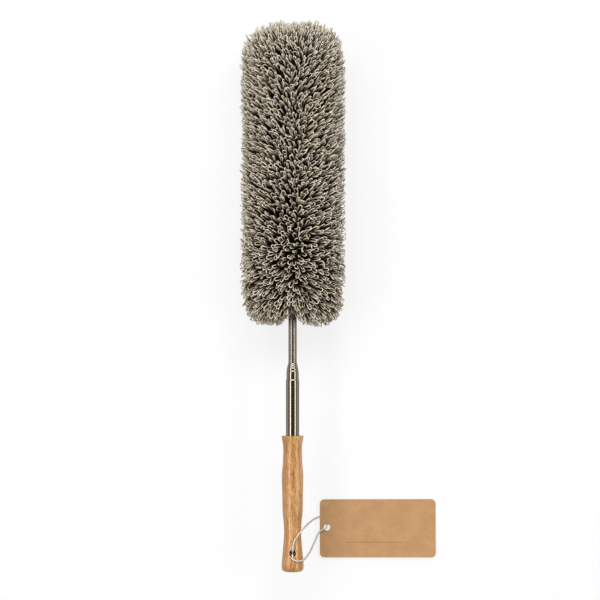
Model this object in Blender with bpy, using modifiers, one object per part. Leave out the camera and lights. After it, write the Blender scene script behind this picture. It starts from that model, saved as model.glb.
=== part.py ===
"""Telescopic duster: a bristle head on six nested steel tubes and a turned bamboo handle.

Metres, +Z up. The duster lies on its head, with the pole's axis along +Y and the handle's butt
end towards -Y. The origin is on the surface below the middle of the collapsed length.
A station is a distance along the pole from the handle's butt end.
"""

import math
import random

import bmesh
import bpy
from mathutils import Vector

QUARTER_TURN = math.pi / 2
FULL_TURN = 2 * math.pi

# Overall sizes and clearances
collapsed_length = 0.560
seat_gap = 0.0003
cut_overrun = 0.002
weld_distance = 0.000002

# Bristle head outline
head_radius = 0.052
head_foot_station = 0.2515
head_foot_corner_radius = 0.022
crown_corner_radius = 0.026
crown_centre_radius = 0.005
notch_radius = 0.009
notch_depth = 0.013
notch_shoulder_radius = 0.020
notch_shoulder_depth = 0.002
rest_flat_depth = 0.0005
axis_height = head_radius - rest_flat_depth

# Woven backing of the bristles, which ends in a rounded toe below the crown
backing_radius = 0.0135
backing_foot_station = 0.283
crown_strand_length = 0.046
toe_centre_radius = 0.0025
toe_radius = backing_radius - toe_centre_radius
backing_length = collapsed_length - crown_strand_length - toe_radius - backing_foot_station
corner_steps = 6

# Bristles, as strands on every second cell of the backing
band_count = 7
rows_per_band = 4
cells_around = 26
row_count = band_count * rows_per_band
strand_middle_share = 0.5
strand_middle_width_share = 0.62
strand_tip_width_share = 0.42
strand_row_scatter_share = 0.2
strand_turn_scatter_share = 0.1
strand_seed = 7
# share of the outline against share of the backing's length where the strand is rooted
root_place_shares = (
    (0.0, 0.0),
    (0.158, 0.084),
    (0.290, 0.172),
    (0.488, 0.433),
    (0.838, 0.924),
    (1.0, 1.0),
)

# Head core
foam_radius = 0.0097
wire_radius = 0.002
connector_spigot_length = 0.015
connector_collar_length = 0.012
connector_socket_depth = 0.010
tip_cap_thickness = 0.0054
tip_cap_socket_depth = 0.003

# Bamboo handle
handle_length = 0.139
handle_radius = 0.0115
handle_bore_depth = 0.051
butt_rounding = 0.004
butt_rounding_steps = 4
rim_chamfer = 0.0006
hang_hole_radius = 0.0033
hang_hole_station = 0.0196
# share of the handle's length against share of its radius, from the butt to the rim
handle_outline_shares = (
    (0.062, 0.985),
    (0.117, 0.917),
    (0.195, 0.832),
    (0.276, 0.770),
    (0.357, 0.800),
    (0.438, 0.895),
    (0.556, 0.926),
    (0.704, 0.966),
    (0.800, 0.873),
    (0.902, 0.846),
    (0.955, 0.905),
)

# Telescopic tubes, outermost first
tube_names = (
    "outer_tube",
    "second_tube",
    "third_tube",
    "fourth_tube",
    "fifth_tube",
    "inner_tube",
)
outer_tube_radius = 0.0067
tube_radius_step = 0.0005
tube_wall = 0.0003
outer_tube_reach = 0.0578
tube_tip_steps = (0.0090, 0.0032, 0.0022, 0.0019)
inner_tube_top_station = 0.297
lip_length = 0.0010
lip_taper = 0.0005
lip_rounding = 0.00012
lip_gap = 0.00008
foot_bead_length = 0.0005
neck_length = 0.0062
neck_depth = 0.00035
neck_shoulder = 0.0005

# Friction sleeves, one on the neck of each sliding tube, and the plug under the tubes
sleeve_turning_gap = 0.00008
sleeve_sliding_gap = 0.00004
sleeve_end_gap = 0.00015
foot_plug_length = 0.0072

# Hang tag, lying on the surface with its string under one end and its lower right corner curled up
tag_length = 0.1214
tag_width = 0.0608
tag_thickness = 0.0005
tag_corner_radius = 0.0046
tag_hole_radius = 0.0034
tag_hole_inset = 0.0075
tag_hole_offset = 0.0011
tag_lift = 0.0027
tag_curl = 0.0030
tag_curl_steps = 8
tag_right_edge = 0.1497
tag_station = 0.0390
tag_corner_steps = 4
tag_hole_sides = 16

# Tag string, a loop through the hang hole with its knot below the handle
string_radius = 0.0010
string_sides_resolution = 2
string_spacing = 0.0043
knot_radius = 0.0039
knot_depth = 0.0133
knot_rings = 8
knot_segments = 12
string_route = (
    (0.0000, -0.2592, 0.0428),
    (0.0000, -0.2592, 0.0520),
    (0.0000, -0.2591, 0.0598),
    (0.0001, -0.2573, 0.0630),
    (0.0004, -0.2539, 0.0630),
    (0.0010, -0.2502, 0.0626),
    (0.0025, -0.2464, 0.0621),
    (0.0051, -0.2426, 0.0608),
    (0.0078, -0.2393, 0.0587),
    (0.0106, -0.2365, 0.0537),
    (0.0131, -0.2347, 0.0447),
    (0.0158, -0.2331, 0.0345),
    (0.0185, -0.2319, 0.0240),
    (0.0213, -0.2308, 0.0142),
    (0.0240, -0.2302, 0.0060),
    (0.0261, -0.2296, 0.0022),
    (0.0279, -0.2290, 0.0011),
    (0.0316, -0.2286, 0.0011),
    (0.0345, -0.2305, 0.0011),
    (0.0358, -0.2338, 0.0011),
    (0.0359, -0.2374, 0.0011),
    (0.0357, -0.2392, 0.0027),
    (0.0346, -0.2406, 0.0044),
    (0.0322, -0.2418, 0.0051),
    (0.0295, -0.2431, 0.0051),
    (0.0276, -0.2449, 0.0058),
    (0.0263, -0.2468, 0.0078),
    (0.0249, -0.2494, 0.0113),
    (0.0234, -0.2524, 0.0158),
    (0.0216, -0.2557, 0.0215),
    (0.0197, -0.2590, 0.0282),
    (0.0176, -0.2621, 0.0357),
    (0.0151, -0.2649, 0.0438),
    (0.0126, -0.2669, 0.0518),
    (0.0103, -0.2677, 0.0589),
    (0.0074, -0.2682, 0.0618),
    (0.0043, -0.2681, 0.0634),
    (0.0017, -0.2671, 0.0641),
    (-0.0001, -0.2654, 0.0640),
    (0.0000, -0.2622, 0.0628),
    (0.0000, -0.2617, 0.0598),
    (0.0000, -0.2616, 0.0520),
    (0.0000, -0.2616, 0.0428),
)

# Roundness
tube_sides = 24
handle_sides = 32
core_sides = 16

parts = bpy.data.collections.new("telescopic_duster")
cutters = bpy.data.collections.new("cutters")


def clear_scene():
    for obj in list(bpy.data.objects):
        bpy.data.objects.remove(obj)
    bpy.context.scene.collection.children.link(parts)
    bpy.context.scene.collection.children.link(cutters)


def finish(name, colour, roughness, metallic=0.0):
    """A plain material with one colour."""
    material = bpy.data.materials.new(name)
    material.use_nodes = True
    shader = material.node_tree.nodes["Principled BSDF"]
    shader.inputs["Base Color"].default_value = (*colour, 1)
    shader.inputs["Roughness"].default_value = roughness
    shader.inputs["Metallic"].default_value = metallic
    return material


def frame_on_axis(name, station, parent=None, parent_station=None):
    """An empty on the pole's axis, with its own Z along the pole."""
    frame = bpy.data.objects.new(name, None)
    if parent is None:
        frame.location = (0, station - collapsed_length / 2, axis_height)
        frame.rotation_euler = (-QUARTER_TURN, 0, 0)
    else:
        frame.parent = parent
        frame.location = (0, 0, station - parent_station)
    parts.objects.link(frame)
    return frame


def add_piece(name, data, material, frame=None, height=0):
    """Puts a piece in the collection, height along its frame's axis."""
    piece = bpy.data.objects.new(name, data)
    data.materials.append(material)
    piece.parent = frame
    piece.location = (0, 0, height)
    parts.objects.link(piece)
    return piece


def shade_round(mesh, sharp_angle=math.radians(35)):
    mesh.shade_smooth()
    mesh.set_sharp_from_angle(angle=sharp_angle)


def profile_mesh(name, outline, closed):
    """A line of edges through (radius, height) points in the XZ plane."""
    mesh = bpy.data.meshes.new(name)
    count = len(outline)
    edges = [(i, (i + 1) % count) for i in range(count if closed else count - 1)]
    mesh.from_pydata([(radius, 0, height) for radius, height in outline], edges, [])
    return mesh


def turn_profile(piece, sides, angle=FULL_TURN):
    """Turns a piece's profile about its own Z."""
    screw = piece.modifiers.new("turning", "SCREW")
    screw.angle = angle
    screw.steps = screw.render_steps = sides
    screw.use_merge_vertices = angle == FULL_TURN
    screw.merge_threshold = weld_distance
    screw.use_smooth_shade = True
    return screw


def turned(name, outline, sides, material, frame, height=0, closed=False):
    """A turned solid, whose outline runs down its outer side."""
    piece = add_piece(name, profile_mesh(name, outline, closed), material, frame, height)
    turn_profile(piece, sides)
    return piece


def arc(centre, radius, start, end, steps):
    """Points on an arc, both ends included, as (x, y) pairs."""
    turns = [start + (end - start) * i / steps for i in range(steps + 1)]
    return [(centre[0] + radius * math.cos(t), centre[1] + radius * math.sin(t)) for t in turns]


def share_along(points, share):
    """The place that lies share of the way along the line through points."""
    spans = [math.dist(a, b) for a, b in zip(points, points[1:])]
    left = share * sum(spans)
    for start, end, span in zip(points, points[1:], spans):
        if left <= span:
            break
        left -= span
    part = min(left / span, 1)
    return tuple(a + (b - a) * part for a, b in zip(start, end))


def looked_up(pairs, value):
    """The second number of the pairs, read between them at value of the first."""
    for (low, low_value), (high, high_value) in zip(pairs, pairs[1:]):
        if value <= high:
            return low_value + (high_value - low_value) * (value - low) / (high - low)
    return pairs[-1][1]


# Handle

def handle_radius_at(station):
    shares = ((0.0, handle_outline_shares[0][1]), *handle_outline_shares, (1.0, 1.0))
    return handle_radius * looked_up(shares, station / handle_length)


def handle_outline():
    """The turned handle from the bore's floor round the rim and down to the butt's centre."""
    bore_radius = outer_tube_radius + seat_gap
    floor = handle_length - handle_bore_depth
    outline = [
        (0, floor),
        (bore_radius, floor),
        (bore_radius, handle_length - rim_chamfer),
        (bore_radius + rim_chamfer, handle_length),
        (handle_radius - rim_chamfer, handle_length),
        (handle_radius, handle_length - rim_chamfer),
    ]
    for length_share, radius_share in reversed(handle_outline_shares):
        outline.append((handle_radius * radius_share, handle_length * length_share))
    butt_radius = handle_radius_at(butt_rounding)
    corner = (butt_radius - butt_rounding, butt_rounding)
    outline += arc(corner, butt_rounding, 0, -QUARTER_TURN, butt_rounding_steps)
    outline.append((0, 0))
    return outline


def hang_hole_cutter(frame):
    """A cylinder square to the pole, through both sides of the handle."""
    mesh = bpy.data.meshes.new("hang_hole")
    bm = bmesh.new()
    bmesh.ops.create_cone(
        bm,
        cap_ends=True,
        segments=tube_sides,
        radius1=hang_hole_radius,
        radius2=hang_hole_radius,
        depth=2 * (handle_radius + cut_overrun),
    )
    bm.to_mesh(mesh)
    bm.free()
    cutter = bpy.data.objects.new("hang_hole", mesh)
    cutter.parent = frame
    cutter.location = (0, 0, hang_hole_station)
    cutter.rotation_euler = (QUARTER_TURN, 0, 0)
    cutter.hide_render = True
    cutter.display_type = "WIRE"
    cutters.objects.link(cutter)
    return cutter


def make_handle(frame, bamboo):
    handle = turned("handle", handle_outline(), handle_sides, bamboo, frame)
    hole = handle.modifiers.new("hang hole", "BOOLEAN")
    hole.operation = "DIFFERENCE"
    hole.solver = "EXACT"
    hole.object = hang_hole_cutter(frame)


# Telescopic tubes

def tube_radius(index):
    return outer_tube_radius - index * tube_radius_step


def tube_bore(index):
    return tube_radius(index) - tube_wall


def neck_radius(index):
    return tube_radius(index) - neck_depth


def foot_station(index):
    """Station of a tube's foot: each one stands on the shoulder inside the tube round it."""
    outer_foot = handle_length - handle_bore_depth + seat_gap
    if index == 0:
        return outer_foot
    first_sliding_foot = outer_foot + foot_plug_length + seat_gap
    step = foot_bead_length + neck_length + neck_shoulder + seat_gap
    return first_sliding_foot + (index - 1) * step


def tip_station(index):
    """Station of a tube's tip. The innermost one ends inside the head."""
    if index == len(tube_names) - 1:
        return inner_tube_top_station
    return handle_length + outer_tube_reach + sum(tube_tip_steps[:index])


def sleeve_top_station(index):
    return foot_station(index) + foot_bead_length + neck_length - sleeve_end_gap


def travel(index):
    """How far a tube slides before its sleeve meets the lip of the tube round it."""
    lip_underside = tip_station(index - 1) - lip_length - lip_taper
    return lip_underside - seat_gap - sleeve_top_station(index)


def tip_outline(index):
    """Down the lip's outside last, up its inside first: points at a tube's tip."""
    length = tip_station(index) - foot_station(index)
    radius, bore = tube_radius(index), tube_bore(index)
    if index == len(tube_names) - 1:
        return [(bore, length), (radius, length)]
    lip_bore = tube_radius(index + 1) + lip_gap
    return [
        (bore, length - lip_length - lip_taper),
        (lip_bore, length - lip_length),
        (lip_bore, length),
        (radius - lip_rounding, length),
        (radius, length - lip_rounding),
    ]


def foot_outline(index):
    """Down the outside and back to the inside: points at a tube's foot."""
    radius, bore = tube_radius(index), tube_bore(index)
    if index == 0:
        return [(radius, 0), (bore, 0)]
    neck_top = foot_bead_length + neck_length
    return [
        (radius, neck_top + neck_shoulder),
        (neck_radius(index), neck_top),
        (neck_radius(index), foot_bead_length),
        (radius, foot_bead_length),
        (radius, 0),
        (neck_radius(index) - tube_wall, 0),
        (neck_radius(index) - tube_wall, neck_top),
        (bore, neck_top + neck_shoulder),
    ]


def make_tube(index, frame, steel):
    outline = tip_outline(index) + foot_outline(index)
    turned(tube_names[index], outline, tube_sides, steel, frame, closed=True)


def make_sleeve(index, frame, brass):
    """A split sleeve in the neck of a sliding tube, one side short of a full turn."""
    inner = neck_radius(index) + sleeve_turning_gap
    outer = tube_bore(index - 1) - sleeve_sliding_gap
    low = foot_bead_length + sleeve_end_gap
    high = foot_bead_length + neck_length - sleeve_end_gap
    name = f"friction_sleeve_{index}"
    piece = add_piece(name, profile_mesh(name, [(outer, high), (outer, low)], False), brass, frame)
    turn_profile(piece, tube_sides - 1, FULL_TURN * (tube_sides - 1) / tube_sides)
    wall = piece.modifiers.new("wall", "SOLIDIFY")
    wall.thickness = outer - inner
    wall.offset = -1
    wall.use_even_offset = True


def make_foot_plug(frame, nylon):
    radius = tube_bore(0) - seat_gap
    outline = [(0, foot_plug_length), (radius, foot_plug_length), (radius, 0), (0, 0)]
    turned("foot_plug", outline, tube_sides, nylon, frame)


# Head core

def cap_station():
    return backing_foot_station + backing_length + seat_gap


def collar_top_station():
    return inner_tube_top_station + seat_gap + connector_collar_length


def make_connector(frame, frame_station, nylon):
    """A plug in the inner tube's end, with a socket for the wire."""
    spigot = tube_bore(len(tube_names) - 1) - seat_gap
    collar = tube_radius(len(tube_names) - 1)
    socket = wire_radius + seat_gap
    top = connector_spigot_length + connector_collar_length
    outline = [
        (0, top - connector_socket_depth),
        (socket, top - connector_socket_depth),
        (socket, top),
        (collar, top),
        (collar, connector_spigot_length),
        (spigot, connector_spigot_length),
        (spigot, 0),
        (0, 0),
    ]
    height = collar_top_station() - top - frame_station
    turned("head_connector", outline, tube_sides, nylon, frame, height)


def make_core_wire(frame, frame_station, wire):
    low = collar_top_station() - connector_socket_depth + seat_gap
    high = cap_station() + tip_cap_socket_depth - seat_gap
    outline = [(0, high - low), (wire_radius, high - low), (wire_radius, 0), (0, 0)]
    turned("core_wire", outline, core_sides, wire, frame, low - frame_station)


def make_foam_core(frame, frame_station, foam):
    """A soft tube over the connector and the wire, with a step between its two bores."""
    wide_bore = tube_radius(len(tube_names) - 1) + seat_gap
    narrow_bore = wire_radius + seat_gap
    step = collar_top_station() + seat_gap - backing_foot_station
    outline = [
        (wide_bore, step),
        (narrow_bore, step),
        (narrow_bore, backing_length),
        (foam_radius, backing_length),
        (foam_radius, 0),
        (wide_bore, 0),
    ]
    height = backing_foot_station - frame_station
    turned("foam_core", outline, cells_around, foam, frame, height, closed=True)


def make_tip_cap(frame, frame_station, nylon):
    """A disc over the core's end, with a socket that holds the wire's tip."""
    socket = wire_radius + seat_gap
    outline = [
        (0, tip_cap_thickness),
        (foam_radius, tip_cap_thickness),
        (foam_radius, 0),
        (socket, 0),
        (socket, tip_cap_socket_depth),
        (0, tip_cap_socket_depth),
    ]
    turned("tip_cap", outline, core_sides, nylon, frame, cap_station() - frame_station)


# Bristle bands

def head_outline():
    """The bristle tips as (radius, station), from the notch at the pole to the crown."""
    foot_corner = (head_radius - head_foot_corner_radius, head_foot_station + head_foot_corner_radius)
    crown_corner = (head_radius - crown_corner_radius, collapsed_length - crown_corner_radius)
    return [
        (notch_radius, head_foot_station + notch_depth),
        (notch_shoulder_radius, head_foot_station + notch_shoulder_depth),
        *arc(foot_corner, head_foot_corner_radius, -QUARTER_TURN, 0, corner_steps),
        *arc(crown_corner, crown_corner_radius, 0, QUARTER_TURN, corner_steps),
        (crown_centre_radius, collapsed_length),
    ]


def backing_outline():
    """The backing's outside as (radius, station), from its foot over the rounded toe."""
    toe_corner = (toe_centre_radius, backing_foot_station + backing_length)
    return [
        (backing_radius, backing_foot_station),
        *arc(toe_corner, toe_radius, 0, QUARTER_TURN, corner_steps),
    ]


def strand_place(outlines, row, cell, height, end_shift):
    """The place at row and cell on the unrolled backing, height of the way up a strand."""
    tips, roots = outlines
    share = row / row_count
    root = share_along(roots, looked_up(root_place_shares, share))
    tip = share_along(tips, share)
    radius = root[0] + (tip[0] - root[0]) * max(height, 0)
    station = root[1] + (tip[1] - root[1]) * max(height, 0) + end_shift
    if height < 0:
        radius = foam_radius + seat_gap
    turn = -QUARTER_TURN + FULL_TURN * cell / cells_around
    return Vector((radius * math.cos(turn), -radius * math.sin(turn), station))


def raise_strands(bm, faces, draws):
    """Draws each face out into a strand that narrows at its middle and again at its tip."""
    for width_share, height in (
        (strand_middle_width_share, strand_middle_share),
        (strand_tip_width_share / strand_middle_width_share, 1.0),
    ):
        faces = bmesh.ops.extrude_discrete_faces(bm, faces=faces)["faces"]
        for face in faces:
            centre = face.calc_center_median()
            row_shift = strand_row_scatter_share * (draws.random() - 0.5)
            turn_shift = strand_turn_scatter_share * (draws.random() - 0.5)
            for vert in face.verts:
                offset = (vert.co - centre) * width_share
                vert.co = centre + offset + Vector((row_shift, turn_shift, 0))
                vert.co.z = height


def flatten_rest(place):
    """Cuts a bristle tip off level with the surface that the head rests on."""
    if place.y > axis_height - rest_flat_depth:
        place.y = axis_height


def close_toe(bm, low_loop, high_loop, frame_station):
    """Closes the last band over the core's end, with a round hollow for the tip cap."""
    bmesh.ops.contextual_create(bm, geom=high_loop)
    hollow_end = cap_station() + tip_cap_thickness + seat_gap - frame_station
    drawn = bmesh.ops.extrude_edge_only(bm, edges=low_loop)["geom"]
    for vert in (item for item in drawn if isinstance(item, bmesh.types.BMVert)):
        vert.co.z = hollow_end
    rim = [item for item in drawn if isinstance(item, bmesh.types.BMEdge)]
    bmesh.ops.contextual_create(bm, geom=rim)


def make_band(index, frame, frame_station, yarn, draws):
    """One slice of the backing with its strands, unrolled, raised and then wound round."""
    is_toe = index == band_count - 1
    first_row = index * rows_per_band
    bm = bmesh.new()
    bmesh.ops.create_grid(bm, x_segments=rows_per_band, y_segments=cells_around, size=0.5)
    for vert in bm.verts:
        vert.co.x = first_row + round((vert.co.x + 0.5) * rows_per_band)
        vert.co.y = round((vert.co.y + 0.5) * cells_around)
    chosen = []
    for face in bm.faces:
        centre = face.calc_center_median()
        if (math.floor(centre.x) + math.floor(centre.y)) % 2 == 0:
            chosen.append(face)
    last_row = first_row + rows_per_band
    side_rows = (first_row,) if is_toe else (first_row, last_row)
    sides = [e for e in bm.edges if all(v.co.x in side_rows and v.co.x == e.verts[0].co.x for v in e.verts)]
    skirts = bmesh.ops.extrude_edge_only(bm, edges=sides)["geom"]
    for vert in (item for item in skirts if isinstance(item, bmesh.types.BMVert)):
        vert.co.z = -1
    raise_strands(bm, chosen, draws)
    outlines = (head_outline(), backing_outline())
    for vert in bm.verts:
        row, cell, height = vert.co
        end_shift = 0
        if height <= 0 and row == first_row and index > 0:
            end_shift = seat_gap / 2
        if height <= 0 and row == last_row and not is_toe:
            end_shift = -seat_gap / 2
        vert.co = strand_place(outlines, row, cell, height, end_shift)
        vert.co.z -= frame_station
        if height == 1:
            flatten_rest(vert.co)
    bmesh.ops.remove_doubles(bm, verts=bm.verts, dist=weld_distance)
    open_edges = [edge for edge in bm.edges if edge.is_boundary]
    if is_toe:
        middle = sum(edge.verts[0].co.z for edge in open_edges) / len(open_edges)
        low_loop = [edge for edge in open_edges if edge.verts[0].co.z < middle]
        high_loop = [edge for edge in open_edges if edge.verts[0].co.z > middle]
        close_toe(bm, low_loop, high_loop, frame_station)
    else:
        bmesh.ops.bridge_loops(bm, edges=open_edges)
    bmesh.ops.recalc_face_normals(bm, faces=bm.faces)
    name = f"bristle_band_{index + 1}"
    mesh = bpy.data.meshes.new(name)
    bm.to_mesh(mesh)
    bm.free()
    add_piece(name, mesh, yarn, frame)


# Tag and string

def curl_up(mesh):
    """Bends the tag's lower right corner up."""
    bm = bmesh.new()
    bm.from_mesh(mesh)
    bmesh.ops.remove_doubles(bm, verts=bm.verts, dist=weld_distance)
    for step in range(1, tag_curl_steps):
        share = step / tag_curl_steps
        for place, across in (
            ((-tag_length * share, 0, 0), (1, 0, 0)),
            ((0, tag_width * (share - 1 / 2), 0), (0, 1, 0)),
        ):
            bmesh.ops.bisect_plane(
                bm,
                geom=bm.verts[:] + bm.edges[:] + bm.faces[:],
                dist=weld_distance,
                plane_co=place,
                plane_no=across,
            )
    bmesh.ops.triangulate(bm, faces=bm.faces)
    for vert in bm.verts:
        right_share = 1 + vert.co.x / tag_length
        low_share = 1 / 2 - vert.co.y / tag_width
        vert.co.z += tag_curl * right_share * low_share**2
    bmesh.ops.recalc_face_normals(bm, faces=bm.faces)
    bm.to_mesh(mesh)
    bm.free()


def make_tag(card):
    """A card with round corners and a hole, lifted at its left end by the string under it."""
    curve = bpy.data.curves.new("hang_tag", "CURVE")
    curve.dimensions = "2D"
    curve.fill_mode = "BOTH"
    curve.extrude = tag_thickness / 2
    half_width = tag_width / 2 - tag_corner_radius
    near, far = -tag_length + tag_corner_radius, -tag_corner_radius
    corners = ((far, half_width), (near, half_width), (near, -half_width), (far, -half_width))
    border = []
    for turn, corner in enumerate(corners):
        start = turn * QUARTER_TURN
        border += arc(corner, tag_corner_radius, start, start + QUARTER_TURN, tag_corner_steps)
    hole_centre = (-tag_length + tag_hole_inset, tag_hole_offset)
    hole = arc(hole_centre, tag_hole_radius, 0, FULL_TURN, tag_hole_sides)[:-1]
    for outline in (border, hole):
        spline = curve.splines.new("POLY")
        spline.points.add(len(outline) - 1)
        for point, (x, y) in zip(spline.points, outline):
            point.co = (x, y, 0, 1)
        spline.use_cyclic_u = True
    frame = bpy.data.objects.new("tag_frame", None)
    frame.location = (tag_right_edge, tag_station - collapsed_length / 2, 0)
    frame.rotation_euler = (0, math.asin(tag_lift / tag_length), 0)
    parts.objects.link(frame)
    flat = bpy.data.objects.new("tag_outline", curve)
    parts.objects.link(flat)
    outlined = flat.evaluated_get(bpy.context.evaluated_depsgraph_get())
    mesh = bpy.data.meshes.new_from_object(outlined)
    mesh.materials.clear()
    bpy.data.objects.remove(flat)
    curl_up(mesh)
    add_piece("hang_tag", mesh, card, frame, tag_thickness / 2)


def smooth_route(points, spacing):
    """Places at an even spacing on a smooth curve through the points."""
    points = [Vector(point) for point in points]
    ends = [2 * points[0] - points[1], *points, 2 * points[-1] - points[-2]]
    fine = []
    steps = 16
    for a, b, c, d in zip(ends, ends[1:], ends[2:], ends[3:]):
        for i in range(steps):
            t = i / steps
            bend = (2 * a - 5 * b + 4 * c - d) * t * t + (3 * b - a - 3 * c + d) * t**3
            fine.append(b + ((c - a) * t + bend) / 2)
    fine.append(points[-1])
    length = sum((b - a).length for a, b in zip(fine, fine[1:]))
    count = round(length / spacing)
    route = [Vector(share_along(fine, i / count)) for i in range(count + 1)]
    print(f"string length {length:.4f} m with {count + 1} points")
    return route


def make_string(cotton):
    curve = bpy.data.curves.new("tag_string", "CURVE")
    curve.dimensions = "3D"
    curve.fill_mode = "FULL"
    curve.bevel_depth = string_radius
    curve.bevel_resolution = string_sides_resolution
    curve.use_fill_caps = True
    route = smooth_route(string_route, string_spacing)
    spline = curve.splines.new("POLY")
    spline.points.add(len(route) - 1)
    for point, place in zip(spline.points, route):
        point.co = (*place, 1)
    add_piece("tag_string", curve, cotton)


def make_knot(frame, cotton):
    """The knot that the string's two ends are tied in, below the hang hole."""
    mesh = bpy.data.meshes.new("string_knot")
    bm = bmesh.new()
    bmesh.ops.create_uvsphere(
        bm, u_segments=knot_segments, v_segments=knot_rings, radius=knot_radius
    )
    bm.to_mesh(mesh)
    bm.free()
    shade_round(mesh)
    knot = add_piece("string_knot", mesh, cotton, frame, hang_hole_station)
    knot.location.y = knot_depth


def main():
    clear_scene()
    bamboo = finish("bamboo", (0.56, 0.34, 0.15), 0.5)
    steel = finish("polished_steel", (0.62, 0.60, 0.57), 0.15, 1.0)
    brass = finish("spring_brass", (0.70, 0.50, 0.22), 0.35, 1.0)
    nylon = finish("dark_nylon", (0.05, 0.05, 0.05), 0.5)
    wire = finish("annealed_wire", (0.35, 0.34, 0.33), 0.45, 1.0)
    foam = finish("grey_foam", (0.25, 0.24, 0.22), 0.9)
    yarn = finish("taupe_yarn", (0.23, 0.20, 0.15), 0.9)
    cotton = finish("cotton_string", (0.72, 0.67, 0.58), 0.9)
    card = finish("kraft_card", (0.55, 0.34, 0.17), 0.8)

    handle_frame = frame_on_axis("handle_frame", 0)
    make_handle(handle_frame, bamboo)
    tube_frame = frame_on_axis("outer_tube_frame", foot_station(0), handle_frame, 0)
    make_tube(0, tube_frame, steel)
    make_foot_plug(tube_frame, nylon)
    for index in range(1, len(tube_names)):
        tube_frame = frame_on_axis(
            f"{tube_names[index]}_frame", foot_station(index), tube_frame, foot_station(index - 1)
        )
        make_tube(index, tube_frame, steel)
        make_sleeve(index, tube_frame, brass)
        print(f"{tube_names[index]} foot {foot_station(index):.5f} travel {travel(index):.5f} m")

    head_frame, head_station = tube_frame, foot_station(len(tube_names) - 1)
    make_connector(head_frame, head_station, nylon)
    make_core_wire(head_frame, head_station, wire)
    make_foam_core(head_frame, head_station, foam)
    make_tip_cap(head_frame, head_station, nylon)
    draws = random.Random(strand_seed)
    for index in range(band_count):
        make_band(index, head_frame, head_station, yarn, draws)

    make_string(cotton)
    make_knot(handle_frame, cotton)
    make_tag(card)


main()
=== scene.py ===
"""Looks of a telescopic duster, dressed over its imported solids.

Metres, +Z up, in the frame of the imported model: the pole's axis runs along +Y from the handle's
butt end to the head's crown, and the duster lies on the surface at z = 0. A station is a distance
along the pole from the butt end.
"""

import math

import bmesh
import bpy
import numpy as np
from bpy.props import FloatProperty, FloatVectorProperty, IntProperty, PointerProperty
from mathutils import Color, Matrix, Vector, noise


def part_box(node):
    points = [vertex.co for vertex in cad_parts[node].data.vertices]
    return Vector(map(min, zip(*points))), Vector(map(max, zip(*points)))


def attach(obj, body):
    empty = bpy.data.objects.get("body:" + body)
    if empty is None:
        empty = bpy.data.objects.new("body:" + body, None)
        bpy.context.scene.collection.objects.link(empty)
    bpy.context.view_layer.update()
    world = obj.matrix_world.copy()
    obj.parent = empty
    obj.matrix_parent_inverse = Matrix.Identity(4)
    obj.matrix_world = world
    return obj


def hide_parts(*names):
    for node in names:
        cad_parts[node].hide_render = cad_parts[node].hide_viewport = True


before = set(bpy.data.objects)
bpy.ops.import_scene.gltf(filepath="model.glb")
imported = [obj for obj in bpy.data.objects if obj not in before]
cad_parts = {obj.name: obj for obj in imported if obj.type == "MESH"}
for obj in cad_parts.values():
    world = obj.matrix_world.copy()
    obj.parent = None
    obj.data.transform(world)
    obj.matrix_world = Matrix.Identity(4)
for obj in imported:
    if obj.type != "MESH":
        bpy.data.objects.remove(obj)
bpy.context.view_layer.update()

bl_info = {
    "name": "Telescopic Duster",
    "version": (1, 0, 0),
    "blender": (4, 5, 0),
    "location": "3D View > Sidebar > Duster",
    "description": "Dresses the packed solids of a telescopic duster",
    "category": "Object",
}

QUARTER_TURN = math.pi / 2
FULL_TURN = 2 * math.pi
GOLDEN_TURN = FULL_TURN * (3 - math.sqrt(5)) / 2
BAKE_MAP = "OFBake"

TUBES = ("outer_tube", "second_tube", "third_tube", "fourth_tube", "fifth_tube", "inner_tube")
TUBE_BODIES = ("handle", "tube_1", "tube_2", "tube_3", "tube_4", "head")
BAND_COUNT = 7
BACKING_SIDES = 64
SEED = 5

# The handle's outline, as shares of its length and radius, from the butt end to the rim
HANDLE_OUTLINE_SHARES = (
    (0.0, 0.985), (0.062, 0.985), (0.117, 0.917), (0.195, 0.832), (0.276, 0.770),
    (0.357, 0.800), (0.438, 0.895), (0.556, 0.926), (0.704, 0.966), (0.800, 0.873),
    (0.902, 0.846), (0.955, 0.905), (1.0, 1.0),
)

# The bristle tips' outline, as (radius, station), from the notch at the pole to the crown
TIP_OUTLINE = (
    (0.0085, 0.2645), (0.0200, 0.2542), (0.0310, 0.2530), (0.0400, 0.2560),
    (0.0462, 0.2620), (0.0500, 0.2712), (0.0516, 0.2850), (0.0522, 0.3100),
    (0.0522, 0.5150), (0.0514, 0.5300), (0.0485, 0.5410), (0.0430, 0.5490),
    (0.0350, 0.5550), (0.0220, 0.5590), (0.0, 0.5600),
)

# Share of the tips' outline against share of the backing's outline where the strand is rooted
ROOT_SHARES = ((0.0, 0.158, 0.290, 0.488, 0.838, 1.0), (0.0, 0.084, 0.172, 0.433, 0.924, 1.0))

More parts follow.
